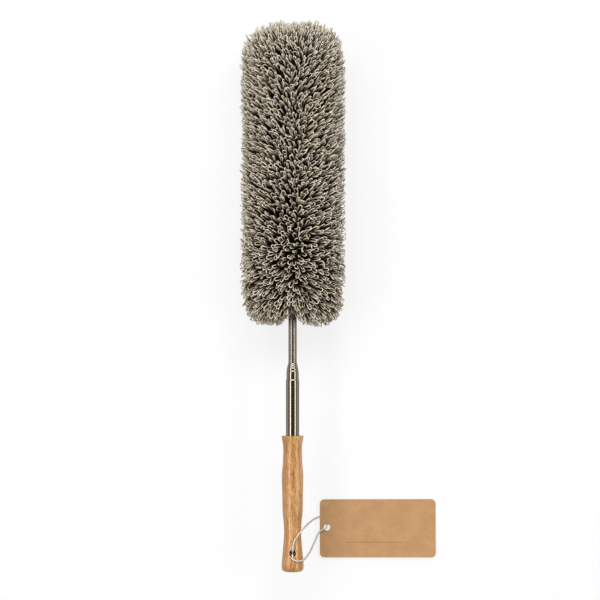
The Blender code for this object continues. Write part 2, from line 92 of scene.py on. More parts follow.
# The string's route from its knot up through the hang hole, round by the tag and back
STRING_ROUTE = (
    (0.0000, -0.2592, 0.0428), (0.0000, -0.2592, 0.0520), (0.0000, -0.2591, 0.0598),
    (0.0001, -0.2573, 0.0630), (0.0004, -0.2539, 0.0630), (0.0010, -0.2502, 0.0626),
    (0.0025, -0.2464, 0.0621), (0.0051, -0.2426, 0.0608), (0.0078, -0.2393, 0.0587),
    (0.0106, -0.2365, 0.0537), (0.0131, -0.2347, 0.0447), (0.0158, -0.2331, 0.0345),
    (0.0185, -0.2319, 0.0240), (0.0213, -0.2308, 0.0142), (0.0240, -0.2302, 0.0060),
    (0.0261, -0.2296, 0.0022), (0.0279, -0.2290, 0.0012), (0.0316, -0.2286, 0.0012),
    (0.0345, -0.2305, 0.0012), (0.0358, -0.2338, 0.0012), (0.0359, -0.2374, 0.0012),
    (0.0357, -0.2392, 0.0027), (0.0346, -0.2406, 0.0044), (0.0322, -0.2418, 0.0051),
    (0.0295, -0.2431, 0.0051), (0.0276, -0.2449, 0.0058), (0.0263, -0.2468, 0.0078),
    (0.0249, -0.2494, 0.0113), (0.0234, -0.2524, 0.0158), (0.0216, -0.2557, 0.0215),
    (0.0197, -0.2590, 0.0282), (0.0176, -0.2621, 0.0357), (0.0151, -0.2649, 0.0438),
    (0.0126, -0.2669, 0.0518), (0.0103, -0.2677, 0.0589), (0.0074, -0.2682, 0.0618),
    (0.0043, -0.2681, 0.0634), (0.0017, -0.2671, 0.0641), (-0.0001, -0.2654, 0.0640),
    (0.0000, -0.2622, 0.0628), (0.0000, -0.2617, 0.0598), (0.0000, -0.2616, 0.0520),
    (0.0000, -0.2616, 0.0428),
)

# The knot's two loose ends, as steps from its middle
LOOSE_ENDS = (
    ((0, 0.001, 0), (0.0012, 0.003, -0.005), (0.0022, 0.0035, -0.0105)),
    ((0, -0.001, 0), (-0.0010, -0.0025, -0.006), (-0.0026, -0.0022, -0.0120)),
)

# Heights over the knot's lowest point between which the cotton in the hang hole is darkened with
# painted shade
KNOT_SHADE_RISE = (0.0022, 0.0036)
KNOT_SHADE_FADE = (0.0160, 0.0110)

# Stations between which the head changes, with what it changes by
NEAR_FOOT = ((0.262, 0.280), (1, 0))
FOOT_SHADE = ((0.28, 0.33), (0.12, 0.0))
LENGTHENED = ((0.26, 0.30, 0.53, 0.55), (-1, 0, 0, 1.3))
STRAGGLED = ((0.27, 0.31, 0.50, 0.54), (0.4, 0.1, 0.1, 1.0))
CROWDING = ((0.35, 0.42), (0.78, 1.1))
OPENNESS = ((0.35, 0.42), (0.6, 1.8))
CROWN_START, CROWN_LENGTH = 0.515, 0.045

# How far a loop is beside the pole's axis, with how far it counts as over the pole
OVER_POLE = ((0.004, 0.013), (1, 0))

# The strip lamps: the axis that each is turned about, its angle, its width and length, its
# power, and how far along the pole it hangs
LAMPS = {
    "left_strip": ("Y", -38, (0.42, 1.2), 8.6, -0.2),
    "right_strip": ("Y", 48, (0.45, 0.9), 5.3, -0.25),
    "crown_strip": ("X", -32, (2.0, 0.7), 24.5, 0.0),
}
LAMP_DISTANCE = 1.8


# Settings

def length(name, description, default):
    return FloatProperty(
        name=name,
        description=description,
        default=default,
        min=0,
        subtype="DISTANCE",
        unit="LENGTH",
    )


def share(name, description, default):
    return FloatProperty(
        name=name, description=description, default=default, min=0, max=1, subtype="FACTOR"
    )


def colour(name, description, default):
    return FloatVectorProperty(
        name=name, description=description, default=default, min=0, max=1, subtype="COLOR_GAMMA"
    )


class PoleSettings(bpy.types.PropertyGroup):
    sides: IntProperty(name="Sides", description="Faces round a tube", default=96, min=12)
    wall: length("Wall", "Thickness of a tube's wall", 0.0003)
    lip_length: length("Lip length", "Length of the turned-in lip at a tube's tip", 0.0010)
    lip_taper: length("Lip taper", "Length over which the bore narrows to the lip", 0.0005)
    tip_taper: length("Tip taper", "Length over which a tube narrows to its tip", 0.0008)
    tip_drop: length("Tip drop", "How far a tube's outside narrows at its tip", 0.00023)
    lip_gap: length("Lip gap", "Gap between a lip and the tube inside it", 0.00008)
    bead: length("Foot bead", "Length of the bead at a sliding tube's foot", 0.0005)
    neck_length: length("Neck length", "Length of the neck that the sleeve sits on", 0.0062)
    neck_depth: length("Neck depth", "How far the neck is sunk below the tube's face", 0.00035)
    shoulder: length("Shoulder", "Length of the slope at the neck's end", 0.0005)
    rim_rounding: length("Rim rounding", "Rounding of a tube's edges", 0.0001)
    steel: colour("Steel", "Colour of the polished tubes", (0.59, 0.55, 0.495))
    edge: colour("Edge", "Tint of the steel where it is seen edge on", (0.35, 0.32, 0.28))
    roughness: share("Roughness", "Roughness of the polished tubes", 0.13)
    inner_roughness: share("Inner roughness", "Roughness of the thinnest tube", 0.26)


class HandleSettings(bpy.types.PropertyGroup):
    sides: IntProperty(name="Sides", description="Faces round the handle", default=96, min=12)
    bore_depth: length("Bore depth", "Depth of the bore for the pole", 0.051)
    bore_gap: length("Bore gap", "Gap between the bore and the outer tube", 0.0003)
    butt_rounding: length("Butt rounding", "Rounding of the butt end", 0.004)
    rim_rounding: length("Rim rounding", "Rounding of the rim and of the hang hole", 0.0006)
    hole_radius: length("Hole radius", "Radius of the hang hole", 0.0033)
    hole_station: length("Hole station", "Distance of the hang hole from the butt end", 0.0196)
    dark: colour("Dark fibres", "Colour of the darkest bamboo fibres", (0.60, 0.345, 0.125))
    tan: colour("Bamboo", "Main colour of the bamboo", (0.81, 0.595, 0.34))
    light: colour("Light fibres", "Colour of the lightest bamboo fibres", (0.95, 0.755, 0.50))
    # Painted shade in the hang hole, on its wall and on the string seen down it
    hole_shade: colour("Hole shade", "Colour of the hang hole's drilled wall", (0.27, 0.10, 0.05))


class HeadSettings(bpy.types.PropertyGroup):
    loops: IntProperty(name="Loops", description="Yarn loops on the head", default=5600, min=7)
    yarn: length("Yarn", "Thickness of the yarn", 0.00090)
    narrow_loop: length("Narrow loop", "Width of the narrowest yarn loop", 0.0022)
    wide_loop: length("Wide loop", "Width of the widest yarn loop", 0.0043)
    straying: length("Straying", "How far a loop strays from its even place", 0.0020)
    proud: length("Proud", "How far the longest loops stand out of the head's outline", 0.0018)
    shortening: length("Shortening", "How much shorter the shortest loops end", 0.0075)
    fuller_right: share("Fuller right", "How much wider the head is on its right side", 0.016)
    longer_right: length("Longer right", "How much longer the head is on its right side", 0.0011)
    pole_gap: length("Pole gap", "How far the loops over the pole stand back at the foot", 0.0085)
    straggling: length("Straggling", "How far single loops at the crown and foot stand out", 0.0014)
    flop: FloatProperty(
        name="Flop",
        description="How far the loops lie over",
        default=math.radians(42),
        subtype="ANGLE",
    )
    flop_length: length("Flop length", "Length of the end of a loop that lies over", 0.012)
    parting: FloatProperty(
        name="Parting",
        description="Where round the pole the loops part to the left and right",
        default=math.radians(82),
        subtype="ANGLE",
    )
    whorl: length("Whorl", "Station from which the loops lie towards the crown and the foot", 0.325)
    swirl: length("Swirl", "Size of the patches that lie one way", 0.011)
    backing_radius: length("Backing radius", "Radius of the woven backing", 0.0135)
    backing_foot: length("Backing foot", "Station of the backing's foot", 0.283)
    backing_length: length("Backing length", "Length of the backing's straight part", 0.220)
    toe_radius: length("Toe radius", "Rounding of the backing's toe", 0.011)
    cool: colour("Cool yarn", "Colour of the greyest yarn", (0.985, 0.92, 0.805))
    warm: colour("Warm yarn", "Colour of the lightest yarn", (1.0, 0.96, 0.885))
    # Painted shade deep in the pile, and also the woven backing's own colour
    backing_and_deep_shade: colour("Deep yarn", "Colour of the yarn near the backing", (0.165, 0.105, 0.035))


class TagSettings(bpy.types.PropertyGroup):
    string: length("String", "Thickness of the string", 0.0020)
    string_sides: IntProperty(name="Sides", description="Faces round the string", default=12, min=6)
    ring_spacing: length("Ring spacing", "Distance between the string's rings of faces", 0.0006)
    ply_waist: share("Ply waist", "How far the string is pinched between its plies", 0.14)
    lay_length: length("Lay length", "Length of one turn of the string's twist", 0.0075)
    cotton: colour("Cotton", "Colour of the string", (0.92, 0.88, 0.82))
    worn: colour("Worn cotton", "Colour of the string's worn patches", (0.76, 0.71, 0.63))
    rule_start: length("Rule start", "Where the ruled line starts from the tag's left edge", 0.0277)
    rule_length: length("Rule length", "Length of the tag's ruled line", 0.0598)
    rule_width: length("Rule width", "Width of the tag's ruled line", 0.0006)
    rule_height: length("Rule height", "Height of the ruled line over the tag's lower edge", 0.0159)
    card: colour("Card", "Colour of the tag", (0.775, 0.597, 0.412))
    ink: colour("Ink", "Colour of the tag's ruled line", (0.54, 0.43, 0.20))


class StageSettings(bpy.types.PropertyGroup):
    floor: colour("Floor", "Colour of the floor", (0.52, 0.52, 0.52))
    glow: share("Glow", "How much brighter the floor is seen than it is lit", 0.765)
    power: FloatProperty(name="Lamps", description="Brightness of the strip lamps", default=1.0)
    zenith: share("Zenith", "Brightness of the sky overhead", 0.09)
    sides: share("Sides", "Brightness of the sky all round", 0.38)


# Finishes

class Level:
    """A value in a node tree. Arithmetic on it adds Math nodes."""

    def __init__(self, tree, socket):
        self.tree = tree
        self.socket = socket

    def maths(self, operation, first, second):
        return self.tree.node("Math", {"operation": operation}, {0: first, 1: second})

    def __add__(self, other):
        return self.maths("ADD", self, other)

    def __sub__(self, other):
        return self.maths("SUBTRACT", self, other)

    def __rsub__(self, other):
        return self.maths("SUBTRACT", other, self)

    def __mul__(self, other):
        return self.maths("MULTIPLY", self, other)

    __radd__ = __add__


class Tree:
    """The nodes of a material or of the sky."""

    def __init__(self, owner):
        owner.use_nodes = True
        self.nodes = owner.node_tree.nodes
        self.links = owner.node_tree.links

    def feed(self, socket, value):
        """Links a value of the tree to a socket, or sets a plain number or colour on it."""
        if isinstance(value, Level):
            self.links.new(value.socket, socket)
        else:
            socket.default_value = value

    def node(self, kind, settings=None, inputs=None, output=0):
        """Adds a node with its settings and inputs, and returns one of its outputs."""
        node = self.nodes.new("ShaderNode" + kind)
        for name, value in (settings or {}).items():
            if name == "stops":
                self.set_stops(node.color_ramp, value)
            else:
                setattr(node, name, value)
        for name, value in (inputs or {}).items():
            self.feed(node.inputs[name], value)
        return Level(self, node.outputs[output])

    def set_stops(self, ramp, stops):
        while len(ramp.elements) < len(stops):
            ramp.elements.new(1)
        for element, (position, value) in zip(ramp.elements, stops):
            element.position = position
            element.color = value if hasattr(value, "__len__") else (value, value, value, 1)

    def part(self, vector, axis):
        return self.node("SeparateXYZ", inputs={0: vector}, output=axis)

    def between(self, value, low, high, start=0, end=1):
        """start where value is low or less, end where it is high or more, smooth between."""
        inputs = {"Value": value, "From Min": low, "From Max": high, "To Min": start, "To Max": end}
        return self.node("MapRange", {"interpolation_type": "SMOOTHSTEP"}, inputs)


class Finish(Tree):
    """A material and its nodes."""

    def __init__(self, name):
        self.material = bpy.data.materials.new(name)
        super().__init__(self.material)
        self.shader = self.nodes["Principled BSDF"]

    def set(self, **values):
        """Sets or feeds the shader's sockets, named with underscores for their spaces."""
        for name, value in values.items():
            self.feed(self.shader.inputs[name.replace("_", " ")], value)

    def place(self):
        return self.node("TexCoord", output="Object")

    def stretched(self, place, scale):
        return self.node("Mapping", inputs={"Vector": place, "Scale": scale})

    def noise(self, place, scale, detail, roughness=0.5, distortion=0.0):
        inputs = {"Vector": place, "Scale": scale, "Detail": detail}
        inputs |= {"Roughness": roughness, "Distortion": distortion}
        return self.node("TexNoise", inputs=inputs)

    def grain(self, place, draw, scale, *shape):
        """Noise that is drawn out along the pole."""
        return self.noise(self.stretched(place, (1.0, draw, 1.0)), scale, *shape)

    def ramp(self, factor, *stops):
        return self.node("ValToRGB", {"stops": stops}, {"Fac": factor})

    def mixed(self, factor, first, second):
        settings = {"data_type": "RGBA", "clamp_factor": True}
        return self.node("Mix", settings, {0: factor, 6: first, 7: second}, 2)

    def layered(self, shade, *layers):
        """The shade below layers, each with its amount, its colour and its brightness."""
        for amount, shown, brightness in layers:
            shade = self.mixed(amount, shade, scene_linear(shown, brightness))
        return shade

    def raised(self, height, distance, strength):
        inputs = {"Height": height, "Distance": distance, "Strength": strength}
        self.set(Normal=self.node("Bump", inputs=inputs))


def scene_linear(shown, brightness=1.0):
    """A colour as it is shown, made linear for a shader's socket."""
    made = Color(shown).from_srgb_to_scene_linear()
    return (made.r * brightness, made.g * brightness, made.b * brightness, 1)


def off_hole(finish):
    """How far a place is from the hang hole's axis."""
    middle = (0, butt_end() + bpy.context.scene.duster_handle.hole_station, 0)
    flat = finish.stretched(finish.place(), (1, 1, 0))
    return finish.node("VectorMath", {"operation": "DISTANCE"}, {0: flat, 1: middle}, "Value")


def bamboo_finish(settings):
    finish = Finish("bamboo")
    place = finish.place()
    bands = finish.grain(place, 0.04, 260, 2, 0.5, 0.2)
    fibres = finish.grain(place, 0.07, 1250, 3, 0.6)
    dashes = finish.grain(place, 0.40, 1500, 2, 0.5)
    blotches = finish.grain(place, 0.6, 130, 2)
    hair = finish.grain(place, 0.03, 3600, 3, 0.6)
    shade = finish.ramp(
        bands * 0.34 + fibres * 0.66,
        (0.36, scene_linear(settings.dark)),
        (0.49, scene_linear(settings.tan)),
        (0.62, scene_linear(settings.light)),
    )
    hole = settings.hole_radius
    # Painted shade on the hang hole's wall
    wall = finish.between(off_hole(finish), hole * 1.06, hole * 1.01)
    shade = finish.layered(
        shade,
        (finish.between(dashes, 0.54, 0.68) * 0.6, settings.dark, 1),
        (finish.between(dashes, 0.44, 0.32) * 0.45, settings.light, 1),
        (finish.between(blotches, 0.52, 0.72) * 0.22, settings.dark, 1.25),
        (finish.between(hair, 0.45, 0.7) * 0.3, settings.dark, 1.15),
        # Painted shade down the handle's left side
        (finish.between(finish.part(place, "X"), -0.001, -0.009) * 0.30, settings.dark, 1.15),
        (wall * (hair * 0.2 + 0.8), settings.hole_shade, 1),
    )
    finish.set(Base_Color=shade, Roughness=fibres * 0.2 + 0.38)
    finish.set(Coat_Weight=0.55, Coat_Roughness=0.2)
    finish.raised(fibres + dashes * 0.5 + hair * 0.3, 0.00012, 0.5)
    return finish.material


def steel_finish(settings, name, dullness):
    finish = Finish(name)
    place = finish.place()
    lines = finish.grain(place, 0.004, 3200, 2)
    smears = finish.noise(place, 90, 3)
    shade = finish.mixed(lines, scene_linear(settings.steel, 0.86), scene_linear(settings.steel))
    roughness = dullness + lines * 0.08 + finish.between(smears, 0.45, 0.8) * 0.10
    finish.set(Base_Color=shade, Metallic=1.0, Roughness=roughness - 0.04)
    finish.set(Specular_Tint=scene_linear(settings.edge))
    finish.raised(lines, 0.00001, 0.25)
    return finish.material


def metal_finish(name, shown, roughness):
    """A plain drawn or sheared metal, with fine lines and dull patches."""
    finish = Finish(name)
    place = finish.place()
    lines = finish.grain(place, 0.02, 2600, 2)
    patches = finish.noise(place, 260, 3)
    shade = finish.mixed(patches, scene_linear(shown, 0.75), scene_linear(shown, 1.1))
    finish.set(Base_Color=shade, Metallic=1.0, Roughness=patches * 0.2 + roughness)
    finish.raised(lines, 0.00002, 0.4)
    return finish.material


def nylon_finish():
    finish = Finish("dark_nylon")
    place = finish.place()
    grain = finish.noise(place, 2200, 3)
    clouds = finish.noise(place, 180, 2)
    shade = finish.mixed(clouds, scene_linear((0.16, 0.16, 0.16)), scene_linear((0.24, 0.24, 0.23)))
    finish.set(Base_Color=shade, Roughness=grain * 0.2 + 0.4)
    finish.raised(grain, 0.00003, 0.5)
    return finish.material


def foam_finish():
    finish = Finish("grey_foam")
    place = finish.place()
    cells = finish.node("TexVoronoi", inputs={"Vector": place, "Scale": 1400})
    clouds = finish.noise(place, 200, 3)
    shade = finish.mixed(clouds, scene_linear((0.38, 0.37, 0.35)), scene_linear((0.52, 0.50, 0.47)))
    shade = finish.mixed(finish.between(cells, 0.2, 0.6), scene_linear((0.2, 0.2, 0.19)), shade)
    finish.set(Base_Color=shade, Roughness=0.95)
    finish.raised(cells, 0.0002, 0.7)
    return finish.material


def yarn_finish(settings):
    """Read from the yarn's own map: up the strand in x, and its tone with its painted shade and its
    turn in y.
    """
    finish = Finish("taupe_yarn")
    place = finish.node("UVMap", {"uv_map": BAKE_MAP}, output="UV")
    height, tone = finish.part(place, "X"), finish.part(place, "Y")
    turn = finish.node("Math", {"operation": "FRACT"}, {0: tone * TONE_ROWS})
    mottle = finish.noise(finish.stretched(place, (18, 40, 1)), 1.0, 3)
    lay = turn * (PLIES * FULL_TURN / TURN_SPAN) + height * (TWISTS * FULL_TURN)
    ply = finish.node("Math", {"operation": "SINE"}, {0: lay})
    # Low tones are the painted shade of the sunken loops
    shade = finish.ramp(
        tone,
        (0.0, scene_linear(settings.cool, 0.50)),
        (0.32, scene_linear(settings.cool, 0.96)),
        (0.65, scene_linear(settings.warm)),
    )
    shade = finish.layered(
        shade,
        (finish.between(mottle, 0.4, 0.7) * 0.22, settings.cool, 0.5),
        # Painted shade in the grooves between the yarn's plies
        (finish.between(ply, -0.1, -0.9) * 0.22, settings.cool, 0.35),
    )
    # Painted shade on the side of the yarn that faces into its loop
    inside = finish.ramp(turn, (0.51, 0.0), (0.56, 0.9), (0.64, 0.9), (0.69, 0.0))
    # Painted shade: the yarn darkens towards the backing, deep in the pile
    depth = finish.ramp(height, (0.66, 0.0), (0.80, 0.15), (0.88, 0.72), (0.93, 1.0))
    shade = finish.mixed(depth * (1 - inside), scene_linear(settings.backing_and_deep_shade), shade)
    finish.set(Base_Color=shade, Roughness=0.85, Specular_IOR_Level=0.15)
    finish.raised(ply + mottle, 0.0001, 0.4)
    return finish.material


def backing_finish(settings):
    finish = Finish("woven_backing")
    place = finish.place()
    weft = finish.node(
        "TexWave", {"bands_direction": "Y"}, {"Vector": place, "Scale": 180, "Distortion": 1.5}
    )
    fuzz = finish.noise(place, 900, 3)
    shade = finish.mixed(weft, scene_linear(settings.backing_and_deep_shade), scene_linear(settings.backing_and_deep_shade, 2.0))
    shade = finish.layered(shade, (fuzz * 0.5, settings.cool, 0.3))
    finish.set(Base_Color=shade, Roughness=0.95)
    finish.raised(weft, 0.0004, 0.6)
    return finish.material


def cotton_finish(settings):
    finish = Finish("cotton_string")
    place = finish.place()
    fluff = finish.noise(place, 2600, 3, 0.6)
    patches = finish.noise(place, 260, 2)
    handle = bpy.context.scene.duster_handle
    # Painted shade on the string and knot seen down the hang hole
    painted_knot_shade = finish.between(off_hole(finish), handle.hole_radius * 1.1, handle.hole_radius)
    above_knot = finish.part(place, "Z") - corners("string_knot")[0].z
    for edge in (KNOT_SHADE_RISE, KNOT_SHADE_FADE):
        painted_knot_shade = painted_knot_shade * finish.between(above_knot, *edge)
    dull, pale = scene_linear(settings.cotton, 0.72), scene_linear(settings.cotton, 1.1)
    shade = finish.layered(
        finish.mixed(fluff, dull, pale),
        (finish.between(patches, 0.4, 0.9) * 0.35, settings.worn, 1),
        (painted_knot_shade * 0.985, handle.hole_shade, 0.7),
    )
    finish.set(Base_Color=shade, Roughness=0.9, Specular_IOR_Level=0.2)
    finish.raised(fluff, 0.0002, 0.7)
    return finish.material


def ruled_line(finish, settings, place):
    """1 on the tag's ruled line and 0 off it."""
    low = corners("hang_tag")[0]
    half, soft = settings.rule_width / 2, settings.rule_width / 4
    start = low.x + settings.rule_start
    end = start + settings.rule_length
    right, up = finish.part(place, "X"), finish.part(place, "Y")
    off_line = up - (low.y + settings.rule_height)
    off_line = finish.node("Math", {"operation": "ABSOLUTE"}, {0: off_line})
    line = finish.between(off_line, half + soft, half - soft)
    line = line * finish.between(right, start, start + soft)
    return line * finish.between(right, end + soft, end)


def card_finish(settings):
    finish = Finish("kraft_card")
    place = finish.place()
    pulp = finish.noise(place, 1300, 3, 0.6)
    fibres = finish.noise(finish.stretched(place, (0.25, 1.0, 1.0)), 1500, 2)
    flecks = finish.grain(place, 0.4, 700, 2)
    clouds = finish.between(finish.noise(place, 75, 3), 0.3, 0.7)
    line = ruled_line(finish, settings, place)
    dull, pale = scene_linear(settings.card, 0.95), scene_linear(settings.card, 1.08)
    shade = finish.layered(
        finish.mixed(clouds, dull, pale),
        (finish.between(pulp, 0.52, 0.72) * 0.35, settings.card, 0.62),
        (finish.between(fibres, 0.58, 0.78) * 0.4, settings.card, 1.3),
        (finish.between(flecks, 0.62, 0.70) * 0.3, settings.card, 0.45),
        (line * (0.6 + pulp * 0.4), settings.ink, 1),
    )
    finish.set(Base_Color=shade, Roughness=0.8)
    finish.raised(pulp + fibres * 0.5, 0.00005, 0.5)
    return finish.material


# Pieces

def corners(node):
    """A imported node's lowest and highest corners."""
    low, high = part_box(node)
    return Vector(low), Vector(high)


def radius_of(node):
    low, high = corners(node)
    return (high.x - low.x) / 2


def axis_height():
    low, high = corners("outer_tube")
    return (low.z + high.z) / 2


def butt_end():
    """The y of the handle's butt end, which stations are counted from."""
    return corners("handle")[0].y


def linked(name, data):
    """An object of some data, put into the scene."""
    obj = bpy.data.objects.new(name, data)
    bpy.context.scene.collection.objects.link(obj)
    return obj


def add_piece(name, mesh, material, body, slot, *nodes):
    """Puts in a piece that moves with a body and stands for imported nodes."""
    mesh.materials.clear()
    mesh.materials.append(material)
    piece = linked(name, mesh)
    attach(piece, body)
    if nodes:
        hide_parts(*nodes)
    return piece


def taken_from(obj):
    """The mesh that an object's modifiers make. The object goes."""
    evaluated = obj.evaluated_get(bpy.context.evaluated_depsgraph_get())
    made = bpy.data.meshes.new_from_object(evaluated)
    bpy.data.objects.remove(obj)
    return made


def plain_mesh(bm, name):
    mesh = bpy.data.meshes.new(name)
    bm.to_mesh(mesh)
    bm.free()
    return mesh


def mesh_from(bm, name, sharp_angle=math.radians(40)):
    """A mesh that is smooth but for its sharp edges."""
    mesh = plain_mesh(bm, name)
    mesh.shade_smooth()
    mesh.set_sharp_from_angle(angle=sharp_angle)
    return mesh


def turned(outline, sides, closed):
    """A solid spun about the pole's axis from an outline of (radius, y) points."""
    bm = bmesh.new()
    verts = [bm.verts.new((radius, y, 0)) for radius, y in outline]
    edges = [bm.edges.new(pair) for pair in zip(verts, verts[1:])]
    if closed:
        edges.append(bm.edges.new((verts[-1], verts[0])))
    bmesh.ops.spin(
        bm, geom=verts + edges, axis=(0, 1, 0), angle=FULL_TURN, steps=sides, use_merge=True
    )
    bmesh.ops.remove_doubles(bm, verts=bm.verts, dist=1e-6)
    bmesh.ops.translate(bm, verts=bm.verts, vec=(0, 0, axis_height()))
    bmesh.ops.recalc_face_normals(bm, faces=bm.faces)
    return bm


def soften(bm, width, segments=2, least_angle=math.radians(50), chosen=None):
    """Rounds the edges where two faces meet at more than an angle."""
    edges = [
        edge
        for edge in bm.edges
        if edge.is_manifold
        and edge.calc_face_angle() > least_angle
        and (chosen is None or chosen(edge))
    ]
    bmesh.ops.bevel(
        bm,
        geom=edges,
        offset=width,
        segments=segments,
        profile=0.5,
        affect="EDGES",
        material=-1,
        clamp_overlap=True,
    )


def smooth_line(points, spacing):
    """Evenly spaced places on a smooth curve through the points."""
    points = np.array(points, float)
    ends = np.concatenate([[2 * points[0] - points[1]], points, [2 * points[-1] - points[-2]]])
    a, b, c, d = (ends[i : len(ends) - 3 + i, None] for i in range(4))
    t = np.linspace(0, 1, 16, endpoint=False)[None, :, None]
    bend = (2 * a - 5 * b + 4 * c - d) * t**2 + (3 * b - a - 3 * c + d) * t**3
    fine = (b + ((c - a) * t + bend) / 2).reshape(-1, points.shape[1])
    return even_line(np.concatenate([fine, points[-1:]]), spacing)


def even_line(points, spacing):
    along = travelled(points)
    at = np.linspace(0, along[-1], round(along[-1] / spacing) + 1)
    return np.stack([np.interp(at, along, column) for column in points.T], axis=1)


def travelled(points):
    """How far along a line each of its points is."""
    steps = np.linalg.norm(np.diff(points, axis=0), axis=1)
    return np.concatenate([[0], np.cumsum(steps)])


# Pole

def tube_outline(index, settings):
    """A tube's closed outline as (radius, y): its lip, down its outside and up its bore."""
    low, high = corners(TUBES[index])
    radius = radius_of(TUBES[index])
    bore = radius - settings.wall
    if index == len(TUBES) - 1:
        tip = [(bore, high.y), (radius, high.y)]
    else:
        lip_bore = radius_of(TUBES[index + 1]) + settings.lip_gap
        tip = [
            (bore, high.y - settings.lip_length - settings.lip_taper),
            (lip_bore, high.y - settings.lip_length),
            (lip_bore, high.y),
            (radius - settings.tip_drop, high.y),
            (radius, high.y - settings.tip_taper),
        ]
    if index == 0:
        return [*tip, (radius, low.y), (bore, low.y)]
    neck = radius - settings.neck_depth
    neck_top = low.y + settings.bead + settings.neck_length
    return [
        *tip,
        (radius, neck_top + settings.shoulder),
        (neck, neck_top),
        (neck, low.y + settings.bead),
        (radius, low.y + settings.bead),
        (radius, low.y),
        (neck - settings.wall, low.y),
        (neck - settings.wall, neck_top),
        (bore, neck_top + settings.shoulder),
    ]


class DUSTER_OT_pole(bpy.types.Operator):
    """Turn the six steel tubes and finish the spring sleeves and the plug inside them"""

    bl_idname = "duster.pole"
    bl_label = "Pole"

    def execute(self, context):
        settings = context.scene.duster_pole
        polished = steel_finish(settings, "polished_steel", settings.roughness)
        brushed = steel_finish(settings, "brushed_steel", settings.inner_roughness)
        crisp = math.atan2(settings.tip_drop, settings.tip_taper) / 2
        for index, (node, body) in enumerate(zip(TUBES, TUBE_BODIES)):
            steel = brushed if node == TUBES[-1] else polished
            bm = turned(tube_outline(index, settings), settings.sides, closed=True)
            soften(bm, settings.rim_rounding)
            mesh = mesh_from(bm, node, crisp)
            add_piece(f"steel_{node}", mesh, steel, body, "steel_tube", node)
        brass = metal_finish("spring_brass", (0.80, 0.66, 0.40), 0.25)
        for index in range(1, len(TUBES)):
            dress(f"friction_sleeve_{index}", brass)
        dress("foot_plug", nylon_finish())
        return {"FINISHED"}


def dress(node, material):
    """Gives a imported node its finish."""
    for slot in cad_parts[node].material_slots:
        slot.material = material


# Handle

def handle_outline(settings):
    """The handle's outline as (radius, y), from the bore's floor round the rim to the butt."""
    low, high = corners("handle")
    longest = high.y - low.y
    widest = radius_of("handle")
    bore = radius_of("outer_tube") + settings.bore_gap
    side = [(widest * radius, low.y + longest * place) for place, radius in HANDLE_OUTLINE_SHARES]
    side = smooth_line(side, 0.0015)
    butt_radius = side[0][0] - settings.butt_rounding
    bore_floor = high.y - settings.bore_depth
    outline = [(0, bore_floor), (bore, bore_floor), (bore, high.y)]
    outline += [(radius, y) for radius, y in side[::-1] if y > low.y + settings.butt_rounding]
    for turn in np.linspace(0, QUARTER_TURN, 9):
        radius = butt_radius + settings.butt_rounding * math.cos(turn)
        outline.append((radius, low.y + settings.butt_rounding * (1 - math.sin(turn))))
    return [*outline, (0, low.y)]


def hang_hole(settings):
    """A cylinder square to the pole, where the hang hole goes through the handle."""
    bm = bmesh.new()
    place = Matrix.Translation((0, butt_end() + settings.hole_station, axis_height()))
    bmesh.ops.create_cone(
        bm,
        cap_ends=True,
        segments=48,
        radius1=settings.hole_radius,
        radius2=settings.hole_radius,
        depth=4 * radius_of("handle"),
        matrix=place,
    )
    return plain_mesh(bm, "hang_hole")


def cut(mesh, cutter_mesh):
    """The mesh with the cutter's shape taken out of it."""
    whole, cutter = linked("whole", mesh), linked("cutter", cutter_mesh)
    boolean = whole.modifiers.new("cut", "BOOLEAN")
    boolean.operation = "DIFFERENCE"
    boolean.solver = "EXACT"
    boolean.object = cutter
    made = taken_from(whole)
    bpy.data.objects.remove(cutter)
    return made


class DUSTER_OT_handle(bpy.types.Operator):
    """Turn the bamboo handle, with its hang hole"""

    bl_idname = "duster.handle"
    bl_label = "Handle"

    def execute(self, context):
        settings = context.scene.duster_handle
        bm = turned(handle_outline(settings), settings.sides, closed=False)
        soften(bm, settings.rim_rounding, 3)
        mesh = cut(mesh_from(bm, "turned_handle"), hang_hole(settings))
        bm = bmesh.new()
        bm.from_mesh(mesh)
        middle = Vector((0, butt_end() + settings.hole_station, axis_height()))
        reach = settings.hole_radius * 1.01

        def on_hole(edge):
            return all((v.co - middle).xy.length < reach for v in edge.verts)

        soften(bm, settings.rim_rounding / 2, 2, math.radians(30), on_hole)
        bamboo = bamboo_finish(settings)
        add_piece("bamboo_handle", mesh_from(bm, "handle"), bamboo, "handle", "bamboo", "handle")
        return {"FINISHED"}


# Bristle head

class Outline:
    """A line of (radius, station) points that is read by share of its length."""

    def __init__(self, points):
        self.points = np.array(points, float)
        self.along = travelled(self.points)
        self.length = self.along[-1]

    def at(self, shares):
        places = np.asarray(shares) * self.length
        return tuple(np.interp(places, self.along, column) for column in self.points.T)

    def heading(self, shares, reach=0.012):
        """Which way the line runs at each share, as radius and station."""
        ahead, behind = (self.at(np.clip(shares + way * reach, 0, 1)) for way in (1, -1))
        return unit(np.subtract(ahead, behind).T).T

    def even_shares(self, count):
        """Shares that hold the same area of the turned surface each, and more near the foot."""
        shares = np.linspace(0, 1, 801)
        radii, stations = self.at(shares)
        crowded = radii * np.interp(stations, *CROWDING)
        area = np.concatenate([[0], np.cumsum((crowded[1:] + crowded[:-1]) / 2)])
        return np.interp((np.arange(count) + 0.5) / count, area / area[-1], shares)


def backing_outline(settings):
    turns = np.linspace(0, QUARTER_TURN, 9)
    toe_middle = settings.backing_radius - settings.toe_radius
    toe_station = settings.backing_foot + settings.backing_length
    radii = toe_middle + settings.toe_radius * np.cos(turns)
    stations = toe_station + settings.toe_radius * np.sin(turns)
    foot = (settings.backing_radius, settings.backing_foot)
    return [foot, *zip(radii, stations), (0, stations[-1])]


